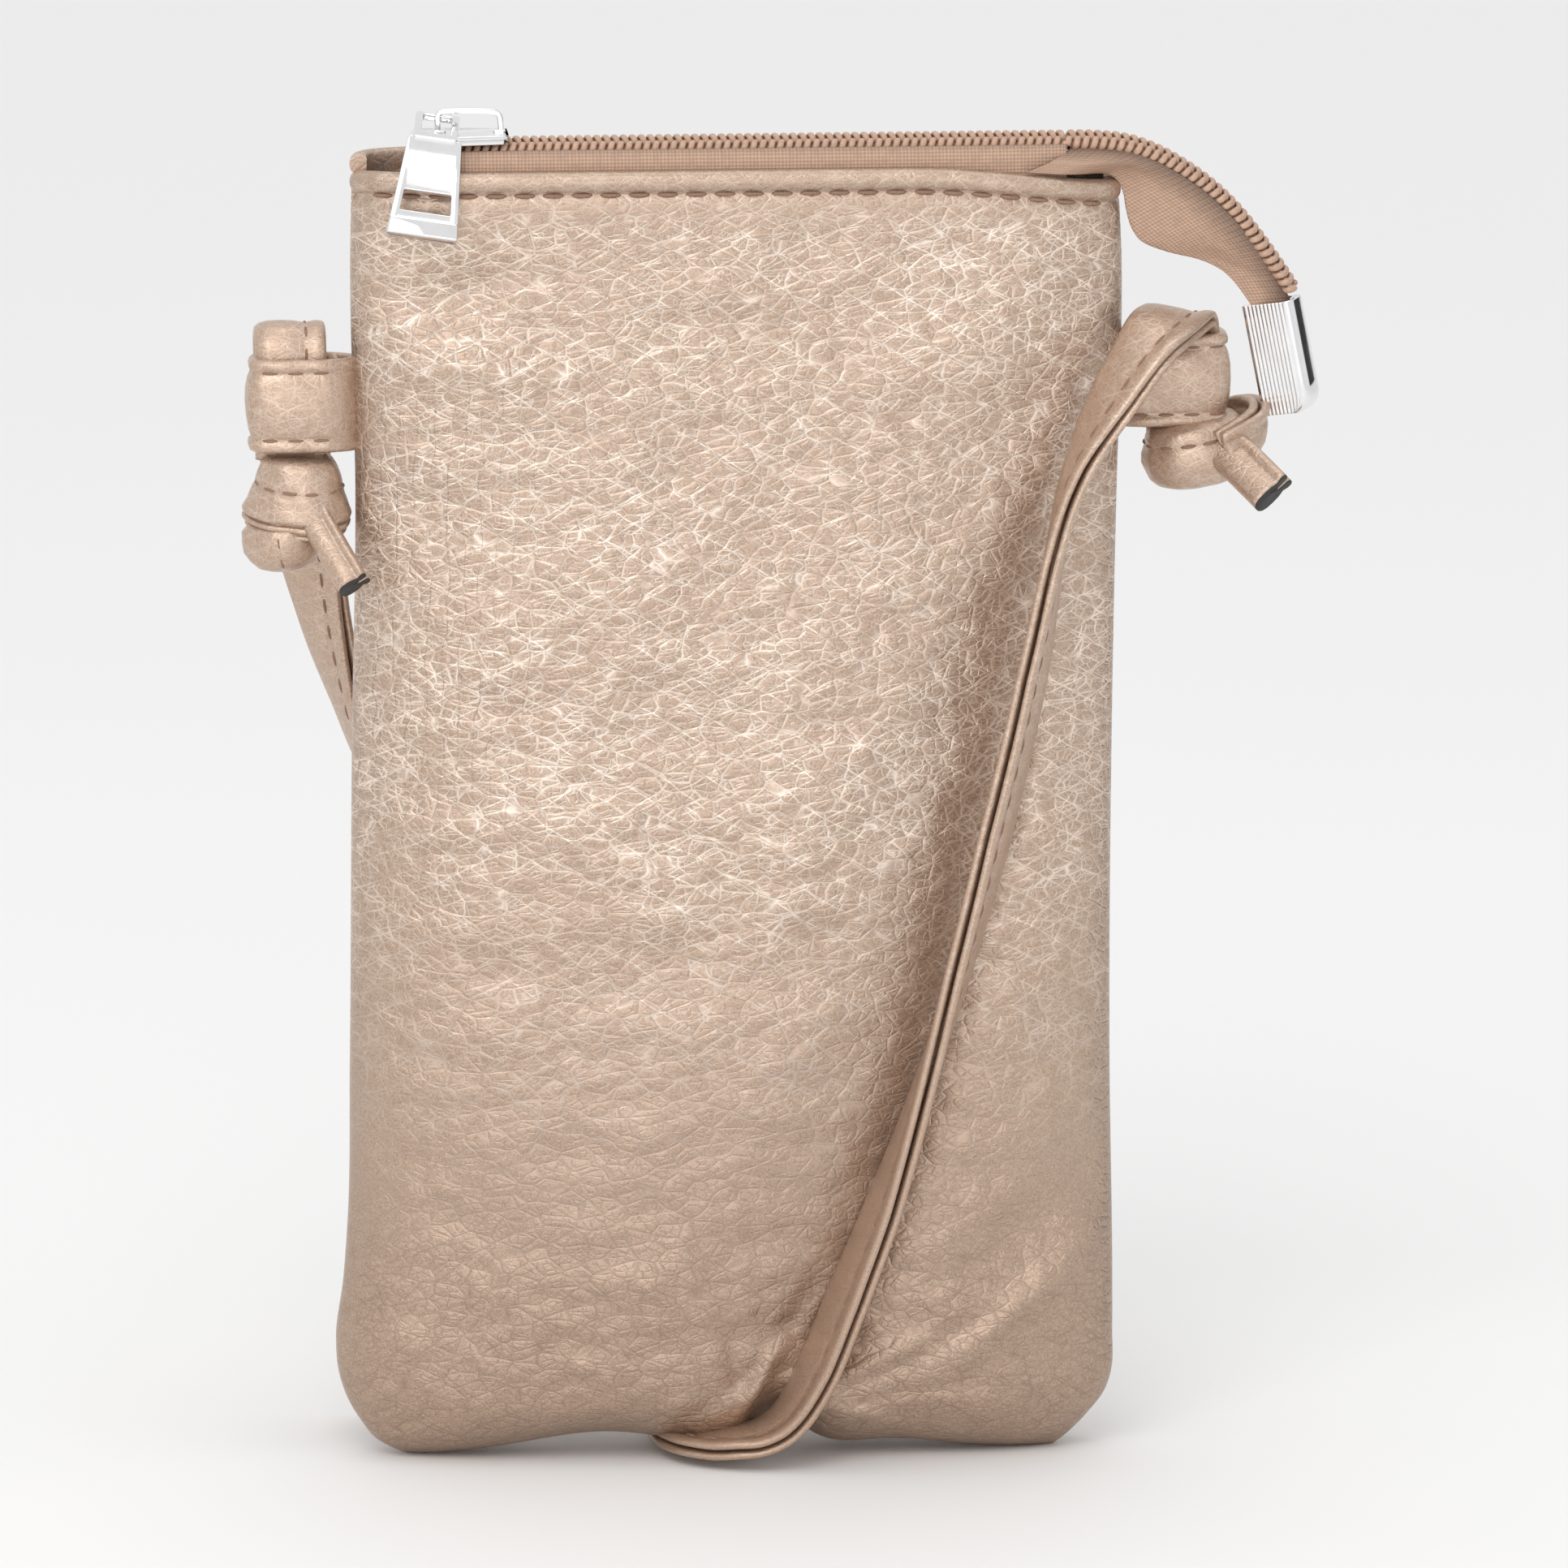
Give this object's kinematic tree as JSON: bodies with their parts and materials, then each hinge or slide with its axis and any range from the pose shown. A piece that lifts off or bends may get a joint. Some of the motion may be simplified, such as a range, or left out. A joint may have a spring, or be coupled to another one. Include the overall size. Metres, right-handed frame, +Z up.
{
  "type": "phone pouch",
  "caption": "Flat upright phone pouch of grained metallic leather-look panels, with a coil zip, a free zip end in a metal clip and a knotted shoulder strap through side loops.",
  "frame": {"origin": "middle of the base, on the surface that the pouch stands on", "axes": "+Z up along the height, the front faces -Y, +X to the right seen from the front"},
  "size_m": [0.1541, 0.0453, 0.1926],
  "materials": {
    "leather": "rose-gold metallic, pebble grain, satin",
    "lining": "plain woven polyester",
    "zip_tape": "woven polyester tape",
    "zip_coil": "dyed nylon coil",
    "bright_metal": "polished bright plating",
    "thread": "twisted thread",
    "tie": "plain woven band"
  },
  "bodies": {
    "pouch": {"front_panel": "leather", "back_panel": "leather", "left_tab": "leather", "right_tab": "leather", "strap_front_run": "leather", "strap_hank": "leather", "strap_back_run": "leather", "left_strap_knot": "leather", "right_strap_knot": "leather", "left_strap_tip": "leather", "right_strap_tip": "leather", "front_lining": "lining", "back_lining": "lining", "front_zip_tape": "zip_tape", "back_zip_tape": "zip_tape", "front_zip_coil": "zip_coil", "back_zip_coil": "zip_coil", "front_hem_stitches": "thread", "back_hem_stitches": "thread", "left_tab_stitches": "thread", "right_tab_stitches": "thread", "hank_tie": "tie"},
    "slider": {"zip_slider_body": "bright_metal", "zip_slider_bail": "bright_metal"},
    "pull": {"zip_pull_tab": "bright_metal"},
    "tail": {"front_zip_tail_tape": "zip_tape", "back_zip_tail_tape": "zip_tape", "zip_tail_coil": "zip_coil", "zip_end_clip": "bright_metal"}
  },
  "joints": [
    {"name": "zip_slide", "type": "slide", "parent": "pouch", "child": "slider", "axis": [1, 0, 0], "range_m": [0, 0.0755]},
    {"name": "pull_swing", "type": "hinge", "parent": "slider", "child": "pull", "pos_m": [-0.04155, 0, 0.19055], "axis": [-1, 0, 0], "range_deg": [0, 38]},
    {"name": "tail_lift", "type": "hinge", "parent": "pouch", "child": "tail", "pos_m": [0.04685, 0, 0.187], "axis": [0, -1, 0], "range_deg": [0, 40]}
  ]
}
